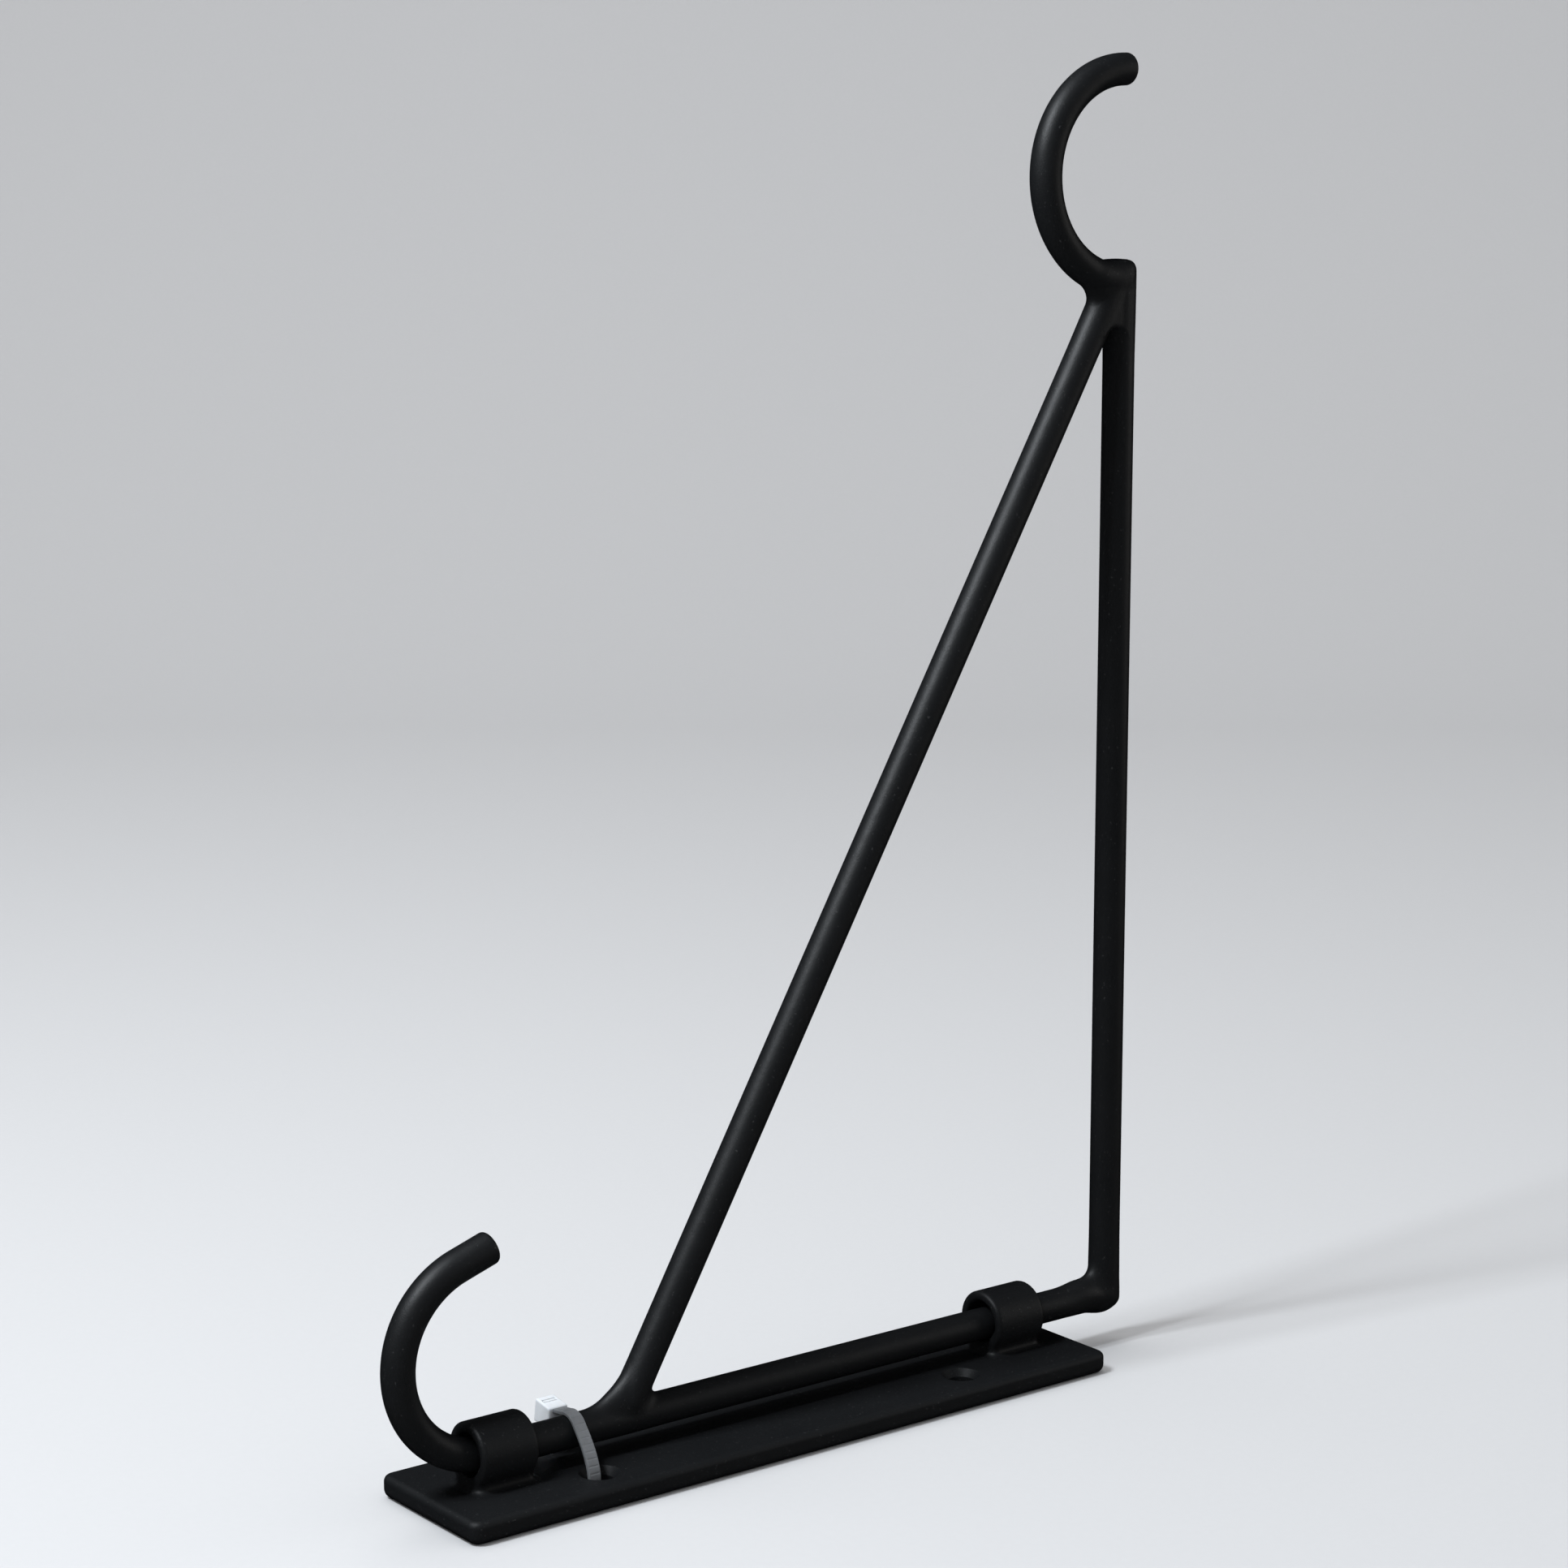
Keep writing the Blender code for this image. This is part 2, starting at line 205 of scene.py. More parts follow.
def surfaceMesh(name, field, low, high, cell):
    # The closed surface where a field crosses zero, cut off at a box: surface nets, then settled onto it
    low, high = np.array(low, float), np.array(high, float)
    middle, half = (low + high) / 2, (high - low) / 2

    def bounded(x, y, z):
        sides = [np.abs(v - m) - h for v, m, h in zip((x, y, z), middle, half)]
        return np.maximum(field(x, y, z), np.maximum.reduce(sides))

    axes = [np.arange(a - 1.5 * cell, b + 2.5 * cell, cell) for a, b in zip(low, high)]
    values = bounded(*np.meshgrid(*axes, indexing="ij"))
    inside = values < 0
    corners = [(i, j, k) for i in (0, 1) for j in (0, 1) for k in (0, 1)]
    size = [n - 1 for n in values.shape]

    def corner(array, c):
        return array[c[0]:c[0] + size[0], c[1]:c[1] + size[1], c[2]:c[2] + size[2]]

    filled = sum(corner(inside, c).astype(int) for c in corners)
    active = (filled > 0) & (filled < 8)
    cells = np.argwhere(active)
    total, hits = np.zeros((len(cells), 3)), np.zeros(len(cells))
    for axis in range(3):
        for first in corners:
            if first[axis]:
                continue
            second = tuple(v + (1 if n == axis else 0) for n, v in enumerate(first))
            a, b = corner(values, first)[active], corner(values, second)[active]
            crosses = (a < 0) != (b < 0)
            share = np.where(crosses, a / np.where(crosses, a - b, 1), 0)
            place = np.tile(np.array(first, float), (len(cells), 1))
            place[:, axis] += share
            total += place * crosses[:, None]
            hits += crosses
    starts = np.array([axis[0] for axis in axes])
    points = starts + (cells + total / hits[:, None]) * cell

    number = -np.ones(size, int)
    number[active] = np.arange(len(cells))
    faces = []
    for axis in range(3):
        across, up = (axis + 1) % 3, (axis + 2) % 3
        before, after = [slice(None)] * 3, [slice(None)] * 3
        before[axis], after[axis] = slice(None, -1), slice(1, None)
        changes = inside[tuple(before)] != inside[tuple(after)]
        edges = np.argwhere(changes)
        outward = inside[tuple(before)][changes]
        around = []
        for stepAcross, stepUp in ((-1, -1), (0, -1), (0, 0), (-1, 0)):
            shifted = edges.copy()
            shifted[:, across] += stepAcross
            shifted[:, up] += stepUp
            around.append(number[tuple(shifted.T)])
        quads = np.stack(around, 1)
        quads[~outward] = quads[~outward][:, ::-1]
        faces.append(quads)
    faces = np.concatenate(faces)

    nudge = settle["nudge"]
    for _ in range(settle["passes"]):
        here = bounded(*points.T)
        slope = []
        for axis in range(3):
            ahead, behind = points.copy(), points.copy()
            ahead[:, axis] += nudge
            behind[:, axis] -= nudge
            slope.append((bounded(*ahead.T) - bounded(*behind.T)) / (2 * nudge))
        slope = np.stack(slope, 1)
        step = slope * (here / np.maximum((slope ** 2).sum(1), settle["leastSlope"]))[:, None]
        length = np.maximum(np.linalg.norm(step, axis=1), 1e-9)
        points -= step * np.minimum(1, settle["furthest"] * cell / length)[:, None]
    return meshFrom(name, points, faces)


class Value:
    # A number socket that takes part in Python expressions
    def __init__(self, finish, socket):
        self.finish = finish
        self.socket = socket

    def maths(self, operation, first, second):
        return self.finish.node("Math", {"operation": operation}, {0: first, 1: second})

    def __add__(self, other):
        return self.maths("ADD", self, other)

    def __radd__(self, other):
        return self.maths("ADD", other, self)

    def __sub__(self, other):
        return self.maths("SUBTRACT", self, other)

    def __rsub__(self, other):
        return self.maths("SUBTRACT", other, self)

    def __mul__(self, other):
        return self.maths("MULTIPLY", self, other)

    def __rmul__(self, other):
        return self.maths("MULTIPLY", other, self)


class Finish:
    # A material under construction. Its constants sit on the shader's own sockets.
    def __init__(self, name, constants):
        self.material = bpy.data.materials.new(name)
        self.material.use_nodes = True
        self.tree = self.material.node_tree
        self.surface = self.tree.nodes["Principled BSDF"]
        for socketName, value in constants.items():
            self.surface.inputs[socketName].default_value = value

    def node(self, kind, settings, sockets, output=0):
        made = self.tree.nodes.new("ShaderNode" + kind)
        for key, value in settings.items():
            if key == "stops":
                for element, (position, shade) in zip(made.color_ramp.elements, value):
                    element.position = position
                    element.color = (shade, shade, shade, 1)
            else:
                setattr(made, key, value)
        for key, value in sockets.items():
            if isinstance(value, Value):
                self.tree.links.new(value.socket, made.inputs[key])
            else:
                made.inputs[key].default_value = value
        return Value(self, made.outputs[output])

    def feed(self, socketName, value):
        self.tree.links.new(value.socket, self.surface.inputs[socketName])

    def place(self):
        return self.node("TexCoord", {}, {}, "Object")

    def noise(self, place, size, detail, roughness):
        # Size is the width of a feature in millimetres
        sockets = {"Vector": place, "Scale": 1 / (size * mm), "Detail": detail, "Roughness": roughness}
        return self.node("TexNoise", {}, sockets)

    def mixColours(self, share, first, second):
        colours = [colour if isinstance(colour, Value) else (*colour, 1) for colour in (first, second)]
        return self.node("Mix", {"data_type": "RGBA"}, {0: share, 6: colours[0], 7: colours[1]}, 2)

    def bump(self, height, depth, under=None):
        sockets = {"Height": height, "Distance": depth * mm}
        if under:
            sockets["Normal"] = under
        return self.node("Bump", {}, sockets)


def powderCoat(name, look):
    # Baked powder paint: fine sandy grain on slow waves, with a little dust in it
    finish = Finish(name, {"Metallic": 0.0, "Specular IOR Level": look["gloss"]})
    place = finish.place()
    grain = finish.noise(place, *look["grain"])
    waves = finish.noise(place, *look["waves"])
    clouds = finish.noise(place, *look["clouds"])
    specks = finish.noise(place, *look["specks"])
    stops = ((look["dustFrom"], 0.0), (look["dustTo"], 1.0))
    dust = finish.node("ValToRGB", {"stops": stops}, {"Fac": specks})
    pits = finish.node("TexVoronoi", {"feature": "F1"}, {"Vector": place, "Scale": 1 / (look["pits"] * mm)})

    tone = finish.mixColours(clouds, look["dark"], look["light"])
    grained = finish.mixColours(grain * look["grainShare"], tone, look["grainLight"])
    dusty = finish.mixColours(dust * look["dustShare"], grained, look["dust"])
    finish.feed("Base Color", dusty)
    uneven = (clouds - 0.5) * look["cloudRoughness"]
    finish.feed("Roughness", look["roughness"] + uneven + (grain - 0.5) * look["grainRoughness"])

    slow = finish.bump(waves, look["waveDepth"])
    fine = finish.bump(grain, look["grainDepth"], slow)
    finish.feed("Normal", finish.bump(pits, look["pitDepth"], fine))
    return finish.material


def nylon(name, look):
    # Natural nylon straight from the mould
    finish = Finish(name, {
        "Subsurface Weight": look["glow"],
        "Subsurface Radius": look["glowColour"],
        "Subsurface Scale": look["glowDepth"] * mm,
        "IOR": look["refraction"],
    })
    place = finish.place()
    clouds = finish.noise(place, *look["clouds"])
    grain = finish.noise(place, *look["grain"])
    finish.feed("Base Color", finish.mixColours(clouds, look["dark"], look["light"]))
    finish.feed("Roughness", look["roughness"] + (clouds - 0.5) * look["cloudRoughness"])
    finish.feed("Normal", finish.bump(grain, look["grainDepth"]))
    return finish.material


# Grain, waves, clouds and specks are each the width of a feature, its detail and its roughness
barLook = {
    "dark": (0.0042, 0.0047, 0.0056),
    "light": (0.0062, 0.0069, 0.0078),
    "clouds": (9.0, 3.0, 0.55),
    "cloudRoughness": 0.12,
    "grain": (0.24, 3.0, 0.6),
    "grainLight": (0.0105, 0.0115, 0.0125),
    "grainShare": 0.5,
    "grainDepth": 0.028,
    "grainRoughness": 0.1,
    "waves": (2.2, 2.0, 0.45),
    "waveDepth": 0.05,
    "pits": 0.4,
    "pitDepth": 0.006,
    "specks": (0.5, 1.0, 0.5),
    "dust": (0.07, 0.07, 0.07),
    "dustFrom": 0.70,
    "dustTo": 0.78,
    "dustShare": 0.35,
    "gloss": 0.36,
    "roughness": 0.5,
}
plateLook = dict(barLook, gloss=0.28, roughness=0.55, waves=(3.0, 2.0, 0.45), clouds=(14.0, 3.0, 0.55))
headLook = {
    "dark": (0.63, 0.655, 0.68),
    "light": (0.73, 0.75, 0.77),
    "clouds": (1.6, 3.0, 0.5),
    "cloudRoughness": 0.2,
    "grain": (0.18, 2.0, 0.6),
    "grainDepth": 0.01,
    "roughness": 0.38,
    "glow": 0.25,
    "glowColour": (0.6, 0.7, 0.8),
    "glowDepth": 1.2,
    "refraction": 1.53,
}
# The strap's dark and light tones are painted shade: the thin strap is darkened by what lies behind it, and
# that darkness is painted into its colour
strapLookPaintedShade = dict(headLook, dark=(0.145, 0.152, 0.16), light=(0.19, 0.197, 0.206), glow=0.2,
                 roughness=0.34, grainDepth=0.012)
barCoat = powderCoat("powderCoatOnBar", barLook)
plateCoat = powderCoat("powderCoatOnPlate", plateLook)
headNylon = nylon("nylonThick", headLook)
# The thin nylon carries the strap's painted shade
strapNylonPaintedShade = nylon("nylonThin", strapLookPaintedShade)
print("finishes made")


# The swinging frame
lowerHook = {"x": -59.1, "radius": 17.7, "endAngle": 108.0, "tail": 7.2, "softEnd": 0.9}
upperHook = {"x": 84.9, "z": 225.4, "radius": 19.3, "endAngle": 87.0, "softEnd": 1.0}
braceLine = {
    "footX": -31.3,
    "headZ": 208.7,
    "barInset": (4.5, 4.0),  # the bar stops inside the welds, this far from its foot and its head
    "weldInset": (3.5, 1.5),  # and this far where the welds are drawn around it
}
armEnds = {"softTop": 2.1, "softBottom": 1.5}
hingeEnd = {"past": 0.6, "soft": 2.0}  # how far the hinge bar runs past the arm's middle

braceFoot = np.array((braceLine["footX"], hingeZ))
braceHead = np.array((armX, braceLine["headZ"]))
braceWay = (braceHead - braceFoot) / np.linalg.norm(braceHead - braceFoot)
hookCentre = (upperHook["x"], upperHook["z"])


def braceEnds(insets):
    return braceFoot + braceWay * insets[0], braceHead - braceWay * insets[1]


def makeHingeBar():
    h = lowerHook
    path = [(armX + hingeEnd["past"], hingeZ)]
    path += arcPath((h["x"], hingeZ + h["radius"]), h["radius"], 270.0, h["endAngle"])
    end = math.radians(h["endAngle"])
    path.append((path[-1][0] + math.sin(end) * h["tail"], path[-1][1] - math.cos(end) * h["tail"]))
    mesh = barMesh("hingeBar", path, barRadius, hingeEnd["soft"], h["softEnd"])
    addPiece("hinge_bar_finished", mesh, barCoat, "swing_frame", ["hinge_bar_with_lower_hook"])


def makeArm():
    path = [(armX, armLow[2]), (armX, armHigh[2])]
    mesh = barMesh("arm", path, barRadius, armEnds["softBottom"], armEnds["softTop"])
    addPiece("arm_finished", mesh, barCoat, "swing_frame", ["arm"])


def makeBrace():
    mesh = barMesh("brace", braceEnds(braceLine["barInset"]), barRadius)
    addPiece("brace_finished", mesh, barCoat, "swing_frame", ["brace"])


def makeUpperHook():
    h = upperHook
    startAngle = 270.0 + math.degrees(math.asin((armX - h["x"]) / h["radius"]))
    path = arcPath(hookCentre, h["radius"], startAngle, h["endAngle"])
    mesh = barMesh("upperHook", path, barRadius, 0.0, h["softEnd"])
    addPiece("upper_hook_finished", mesh, barCoat, "swing_frame", ["upper_hook"])


makeHingeBar()
makeArm()
makeBrace()
makeUpperHook()
print("bars bent")


def armField(x, y, z):
    around = np.hypot(x - armX, y) - barRadius
    upper = softBox([around, z - armHigh[2]], armEnds["softTop"])
    lower = softBox([around, armLow[2] - z], armEnds["softBottom"])
    return np.maximum(upper, lower)


def hingeField(x, y, z):
    return softBox([np.hypot(y, z - hingeZ) - barRadius, x - armX - hingeEnd["past"]], hingeEnd["soft"])


def braceField(x, y, z):
    return rodField(x, y, z, *braceEnds(braceLine["weldInset"]), barRadius)


def braceSide(x, z):
    # Distance in the plane from the brace's middle line, positive on the arm's side
    return (x - braceFoot[0]) * braceWay[1] - (z - braceFoot[1]) * braceWay[0]


def layWeld(name, field, joint, reach):
    def coated(x, y, z):
        return field(x, y, z) + (np.hypot(x - joint[0], z - joint[1]) - reach) * coatSlope

    middle = np.array([joint[0], 0, joint[1]])
    extent = np.array([reach, barRadius, reach]) + weldMargin
    mesh = surfaceMesh(name, coated, middle - extent, middle + extent, weldCell)
    addPiece(name, mesh, barCoat, "swing_frame", [])


footWeld = {"outer": 6.4, "inner": 2.6, "least": 1.0, "reach": 10.6}


def makeFootWeld():
    # Wide on the side towards the lower hook, tight in the sharp corner under the brace
    w = footWeld

    def field(x, y, z):
        side = np.clip(0.5 + braceSide(x, z) / (2 * barRadius), 0, 1)
        above = np.clip(0.5 + (z - hingeZ) / barRadius, 0, 1)
        size = (w["outer"] + (w["inner"] - w["outer"]) * side) * above
        return blend(hingeField(x, y, z), braceField(x, y, z), filletSize(y, size, w["least"]))

    layWeld("weld_brace_foot", field, braceFoot, w["reach"])


cornerWeld = {"size": 3.4, "least": 0.8, "lump": 0.5, "lumpAt": 6.5, "lumpLength": 3.2, "reach": 11.5}


def makeCornerWeld():
    w = cornerWeld

    def field(x, y, z):
        # The bead runs on over the hinge bar's top for a short way
        above = np.maximum(z - hingeZ, 0) / barRadius
        lump = w["lump"] * above * np.exp(-((armX - w["lumpAt"] - x) / w["lumpLength"]) ** 2)
        return blend(hingeField(x, y, z) - lump, armField(x, y, z), filletSize(y, w["size"], w["least"]))

    layWeld("weld_lower_corner", field, (armX, hingeZ), w["reach"])


topWeld = {
    "overHook": 1.4,
    "underHook": 3.4,
    "least": 0.5,
    "levelLength": 5.4,
    "levelInset": 0.5,
    "levelBlend": 1.0,
    "lidBlend": 0.6,
    "webBottom": 197.3,
    "webTop": 206.0,
    "webLegs": 1.6,
    "webInset": 0.1,
    "webSoft": 0.9,
    "webBlend": 0.5,
    "archRadius": 3.0,
    "middle": (-2.5, 205.0),  # from the arm, and from the wall
    "reach": 14.0,
}


def makeTopWeld():
    # Hook, arm and brace meet here. The weld runs level from the hook to the arm's top, and fills the gap
    # between arm and brace flush for a short way.
    w = topWeld
    webWidth = (braceHead[1] - w["webBottom"]) * braceWay[0] / braceWay[1]
    webMiddle = armX - webWidth / 2
    levelZ = armHigh[2] - barRadius
    levelStart, levelEnd = (armX - w["levelLength"], levelZ), (armX - w["levelInset"], levelZ)

    def field(x, y, z):
        ring = np.hypot(x - hookCentre[0], z - hookCentre[1]) - upperHook["radius"]
        hook = np.maximum(np.hypot(ring, y) - barRadius, x - armX)
        arch = w["archRadius"] - np.hypot(x - webMiddle, z - w["webBottom"] + w["archRadius"])
        legs = w["webBottom"] - w["webLegs"] - z
        flat = np.maximum.reduce([x - armX, -braceSide(x, z), arch, legs, z - w["webTop"]])
        web = softBox([flat, np.abs(y) - barRadius + w["webInset"]], w["webSoft"])
        bars = np.minimum(armField(x, y, z), braceField(x, y, z))
        over = np.clip(0.5 - ring / barRadius, 0, 1)
        besideArm = np.clip((armX - x) / barRadius, 0, 1)
        size = (w["underHook"] + (w["overHook"] - w["underHook"]) * over) * besideArm
        hook = blend(hook, rodField(x, y, z, levelStart, levelEnd, barRadius), w["levelBlend"])
        body = blend(blend(bars, web, w["webBlend"]), hook, filletSize(y, size, w["least"]))
        lid = z - armHigh[2] - np.maximum(levelStart[0] - x, 0)  # keeps the joint as low as the arm's top
        return -blend(-body, -lid, w["lidBlend"])

    layWeld("weld_top_joint", field, (armX + w["middle"][0], w["middle"][1]), w["reach"])


makeFootWeld()
makeCornerWeld()
makeTopWeld()
print("welds laid")


plate = {
    "cornerRadius": 2.2,
    "cornerSteps": 14,
    "frontEdge": 1.2,
    "wallEdge": 1.7,
    "edgeSteps": 9,
    "holeX": 41.2,
    "holeY": 7.8,
    "holeHead": 3.65,
    "holeShank": 2.6,
    "countersink": 1.4,
    "holeRim": 0.35,
    "rimSteps": 6,
    "holeSides": 64,
    "cutterPast": 1.0,
    "sharpFrom": 35,
}


def roundedRing(halfLength, halfWidth, radius, z):
    ring = []
    for cornerX, cornerY, start in ((1, 1, 0), (-1, 1, 90), (-1, -1, 180), (1, -1, 270)):
        for angle in np.radians(np.linspace(start, start + 90, plate["cornerSteps"])):
            ring.append((cornerX * (halfLength - radius) + radius * math.cos(angle),
                         cornerY * (halfWidth - radius) + radius * math.sin(angle), z))
    return np.array(ring)


def screwHoleCutter(x, y):
    # A turned countersink whose mouth flares where the coat rounds its rim
    p = plate
    rim, head, shank = p["holeRim"], p["holeHead"], p["holeShank"]
    slope = math.atan2(p["countersink"], head - shank)
    mouth = head + rim * math.tan(slope / 2)
    profile = [(shank, -p["cutterPast"]), (shank, plateTop - p["countersink"])]
    for angle in np.linspace(slope, 0, p["rimSteps"]):
        profile.append((mouth - rim * math.sin(angle), plateTop - rim + rim * math.cos(angle)))
    profile.append((mouth, plateTop + p["cutterPast"]))
    turn = np.linspace(0, 2 * math.pi, p["holeSides"], endpoint=False)
    rings = [np.stack([x + r * np.cos(turn), y + r * np.sin(turn), np.full(len(turn), z)], 1)
             for r, z in profile]
    cutter = bpy.data.objects.new("holeCutter", meshFrom("holeCutter", *skin(rings)))
    bpy.context.scene.collection.objects.link(cutter)
    return cutter


def applyModifiers(piece):
    bpy.context.view_layer.update()
    evaluated = piece.evaluated_get(bpy.context.evaluated_depsgraph_get())
    finished = bpy.data.meshes.new_from_object(evaluated)
    piece.modifiers.clear()
    piece.data = finished


def makePlate():
    p = plate
    halfLength, halfWidth = plateHigh[0], plateHigh[1]
    edges = []
    for angle in np.radians(np.linspace(0, 90, p["edgeSteps"])):
        edges.append((p["wallEdge"] * (1 - math.sin(angle)), p["wallEdge"] * (1 - math.cos(angle))))
    for angle in np.radians(np.linspace(90, 0, p["edgeSteps"])):
        drop = p["frontEdge"] * (1 - math.cos(angle))
        edges.append((p["frontEdge"] * (1 - math.sin(angle)), plateTop - drop))
    rings = []
    for inset, z in edges:
        rings.append(roundedRing(halfLength - inset, halfWidth - inset, p["cornerRadius"] - inset, z))
    count = len(rings[0])
    points, faces = skin(rings, closed=False)
    faces.append(list(range(count))[::-1])
    faces.append([len(points) - count + index for index in range(count)])
    piece = addPiece("back_plate_finished", meshFrom("backPlate", points, faces), plateCoat, None)
    cutters = []
    for sideX in (-1, 1):
        for sideY in (-1, 1):
            cutter = screwHoleCutter(sideX * p["holeX"], sideY * p["holeY"])
            cut = piece.modifiers.new("screw hole", "BOOLEAN")
            cut.operation = "DIFFERENCE"
            cut.solver = "EXACT"
            cut.object = cutter
            cutters.append(cutter)
    applyModifiers(piece)
    for cutter in cutters:
        bpy.data.objects.remove(cutter)
    piece.data.shade_smooth()
    keepEdges(piece, p["sharpFrom"])
    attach(piece, "wall_plate")
    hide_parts("back_plate")


makePlate()
print("plate made")


# Each knuckle is a tube on a foot, welded to the plate
knuckle = {
    "outer": 5.8,
    "bore": 3.9,
    "rise": 0.5,
    "endSoft": 0.85,
    "footWidth": 7.4,
    "footInset": 0.5,
    "footSoft": 0.9,
    "footBlend": 1.4,
    "weld": 2.0,
    "weldReach": 3.0,
    "sink": 0.02,  # the weld's rim lies this far under the plate's face
    "bottom": -0.5,  # the mesh ends this far under the plate's face
    "cell": 0.25,
}


def makeKnuckle(node):
    k = knuckle
    low, high = boxInMm(node)
    middle, half = (low[0] + high[0]) / 2, (high[0] - low[0]) / 2
    boreZ = hingeZ + k["rise"]
    wall = (k["outer"] - k["bore"]) / 2

    def field(x, y, z):
        around = np.hypot(y, z - boreZ)
        ends = np.abs(x - middle) - half
        tube = softBox([np.abs(around - k["bore"] - wall) - wall, ends], k["endSoft"])
        foot = softBox([ends + k["footInset"], np.abs(y) - k["footWidth"] / 2], k["footSoft"])
        foot = np.maximum(foot, z - boreZ + k["bore"] / 2)
        body = blend(tube, foot, k["footBlend"])
        body = np.maximum(body, k["bore"] - around)
        return blend(body, z - plateTop + k["sink"], k["weld"])

    alongX, alongY = half + k["weldReach"], k["footWidth"] / 2 + k["weldReach"]
    start = (middle - alongX, -alongY, plateTop + k["bottom"])
    end = (middle + alongX, alongY, boreZ + k["outer"] + 1)
    mesh = surfaceMesh(node, field, start, end, k["cell"])
    addPiece(node + "_finished", mesh, barCoat, "wall_plate", [node])


makeKnuckle("knuckle_by_lower_hook")
makeKnuckle("knuckle_by_arm")
print("knuckles made")


# The cable tie goes over the bar, down one screw hole and up from the other
tie = {
    "x": -42.0,
    "width": 2.5,
    "thickness": 0.75,
    "gap": 0.1,
    "headSize": (4.4, 4.8, 4.2),
    "headY": 5.8,
    "headZ": 11.75,
    "headSlope": 0.17,
    "headTaper": 0.06,
    "headSoft": 0.3,
    "headCell": 0.12,
    "headMargin": 3.2,
    "slotOffset": 0.5,
    "slotPlay": (0.12, 0.1),
    "barPlay": 0.25,
    "edge": 0.16,
    "groovePitch": 1.27,
    "grooveDepth": 0.08,
    "grooveWidth": 0.12,
    "rail": 0.22,
    "railSlope": 0.1,
    "step": 0.08,
    "sharpFrom": 40,
    "fromHead": ((1.0, 1.0), (2.5, 0.5)),  # back from the head's middle, and down from over the bar
    "overBar": (72, 149, 12),  # degrees around the hinge axis
    "pastBar": ((3.25, 0.1), (1.75, 2.4)),  # in from the near hole's middle, and down from the hinge axis
    "nearHole": ((0.7, 0.5), (0.35, -1.6)),  # in from its middle, and up from the plate's face
    "nearEnd": (0.3, 0.5),  # in from its middle, and up from the wall
    "farEnd": 0.2,  # in from the far hole's middle
    "farHole": ((0.25, -0.5), (0.5, 1.5)),  # in from its middle, and up from the plate's face
    "throughHead": (-2.0, 1.75),  # up from the head's middle
}


def smoothRoute(points, spacing):
    # A rounded curve through (y, z) points, with even steps
    points = np.array(points, float)
    padded = np.concatenate([[2 * points[0] - points[1]], points, [2 * points[-1] - points[-2]]])
    fine = []
    for index in range(1, len(padded) - 2):
        a, b, c, d = padded[index - 1:index + 3]
        for t in np.linspace(0, 1, 24, endpoint=False):
            fine.append(0.5 * (2 * b + (c - a) * t + (2 * a - 5 * b + 4 * c - d) * t ** 2
                               + (3 * b - a - 3 * c + d) * t ** 3))
    fine = np.array(fine + [points[-1]])
    run = np.concatenate([[0], np.cumsum(np.linalg.norm(np.diff(fine, axis=0), axis=1))])
    stops = np.linspace(0, run[-1], int(run[-1] / spacing) + 1)
    return np.stack([np.interp(stops, run, fine[:, n]) for n in (0, 1)], 1), stops


def strapMesh(name, points, groovesOut):
    # A strap with softened edges, and a ladder of fine grooves along one face between two plain rails
    t = tie
    route, run = smoothRoute(points, t["step"])
    along = np.gradient(route, axis=0)
    along /= np.linalg.norm(along, axis=1)[:, None]
    out = np.stack([-along[:, 1], along[:, 0]], 1) * groovesOut
    halfWidth, halfDepth = t["width"] / 2, t["thickness"] / 2
    rail = halfWidth - t["rail"]
    rings = []
    for place, normal, distance in zip(route, out, run):
        fromGroove = (distance / t["groovePitch"] % 1.0 - 0.5) * t["groovePitch"]
        face = halfDepth - t["grooveDepth"] * math.exp(-(fromGroove / t["grooveWidth"]) ** 2)
        half = [(halfWidth - t["edge"], -halfDepth), (halfWidth, -halfDepth + t["edge"]),
                (halfWidth, halfDepth - t["edge"]), (halfWidth - t["edge"], halfDepth),
                (rail, halfDepth), (rail - t["railSlope"], face)]
        section = half + [(-across, depth) for across, depth in half[::-1]]
        rings.append(np.array([(t["x"] + across, *(place + normal * depth)) for across, depth in section]))
    return meshFrom(name, *skin(rings))


def makeStrap():
    t = tie
    wrap = barRadius + t["gap"] + t["thickness"] / 2
    route = [(t["headY"] - back, hingeZ + wrap - down) for back, down in t["fromHead"]]
    for angle in range(*t["overBar"]):
        turn = math.radians(angle)
        route.append((wrap * math.cos(turn), hingeZ + wrap * math.sin(turn)))
    route += [(across - plate["holeY"], hingeZ - down) for across, down in t["pastBar"]]
    route += [(across - plate["holeY"], plateTop + up) for across, up in t["nearHole"]]
    route.append((t["nearEnd"][0] - plate["holeY"], t["nearEnd"][1]))
    mesh = strapMesh("tieStrap", route, -1)
    piece = addPiece("cable_tie_strap", mesh, strapNylonPaintedShade, "wall_plate", ["cable_tie"])
    keepEdges(piece, t["sharpFrom"])


def makeTail():
    t = tie
    bottom = boxInMm("cable_tie_tail")[0][2]
    slotY = t["headY"] + t["slotOffset"]
    route = [(plate["holeY"] - t["farEnd"], bottom)]
    route += [(plate["holeY"] - across, plateTop + up) for across, up in t["farHole"]]
    route += [(slotY, t["headZ"] + up) for up in t["throughHead"]]
    mesh = strapMesh("tieEnd", route, 1)
    piece = addPiece("cable_tie_end", mesh, headNylon, "wall_plate", ["cable_tie_tail"])
    keepEdges(piece, t["sharpFrom"])


